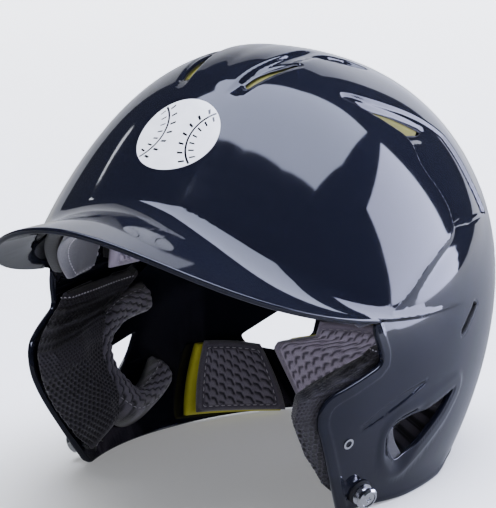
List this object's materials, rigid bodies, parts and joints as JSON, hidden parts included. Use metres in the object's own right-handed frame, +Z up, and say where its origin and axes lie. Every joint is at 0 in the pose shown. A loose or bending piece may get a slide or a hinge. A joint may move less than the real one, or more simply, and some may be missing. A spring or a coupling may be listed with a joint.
{
  "type": "batting helmet",
  "caption": "Hard-shell batting helmet with a short bill, an ear flap on each side, air vents, a padded foam liner, removable jaw pads, face-guard inserts and chin-strap studs.",
  "frame": {"origin": "middle of the overall width and length, on the surface that the lower rim stands on", "axes": "+Z up, -Y the front, where the bill points, +X the wearer's left"},
  "size_m": [0.207, 0.3029, 0.2118],
  "materials": {
    "shell": "high-gloss moulded dark navy ABS",
    "foam_base": "matt closed-cell EVA foam, yellow-green",
    "pad_fabric": "charcoal knitted fabric embossed with broken chevrons",
    "ear_fabric": "dark charcoal ribbed knit over soft foam",
    "jaw_foam": "black soft foam",
    "spacer_mesh": "black perforated spacer mesh",
    "hook_loop": "black hook and loop fastener",
    "washer": "black rubber washer",
    "hardware": "bright nickel-plated metal"
  },
  "bodies": {
    "helmet": {"shell": "shell", "forehead_base": "foam_base", "forehead_pad": "pad_fabric", "crown_base": "foam_base", "crown_pad": "pad_fabric", "upper_rear_base": "foam_base", "upper_rear_pad": "pad_fabric", "rear_base": "foam_base", "rear_pad": "pad_fabric", "rear_side_base_left": "foam_base", "rear_side_base_right": "foam_base", "rear_side_pad_left": "pad_fabric", "rear_side_pad_right": "pad_fabric", "temple_base_left": "foam_base", "temple_base_right": "foam_base", "temple_pad_left": "pad_fabric", "temple_pad_right": "pad_fabric", "ear_pad_left": "ear_fabric", "ear_pad_right": "ear_fabric", "hook_discs": "hook_loop", "guard_inserts": "hardware", "snap_studs": "hardware", "snap_screws": "hardware", "snap_washers": "washer", "snap_tnuts": "hardware"},
    "jaw_pad_left": {"jaw_foam_left": "jaw_foam", "jaw_cover_left": "spacer_mesh", "loop_discs_left": "hook_loop"},
    "jaw_pad_right": {"jaw_foam_right": "jaw_foam", "jaw_cover_right": "spacer_mesh", "loop_discs_right": "hook_loop"}
  },
  "joints": [
    {"name": "jaw_pad_left_pull", "type": "slide", "parent": "helmet", "child": "jaw_pad_left", "axis": [-0.9701, 0, 0.2425], "range_m": [0, 0.015]},
    {"name": "jaw_pad_right_pull", "type": "slide", "parent": "helmet", "child": "jaw_pad_right", "axis": [0.9701, 0, 0.2425], "range_m": [0, 0.015]}
  ]
}
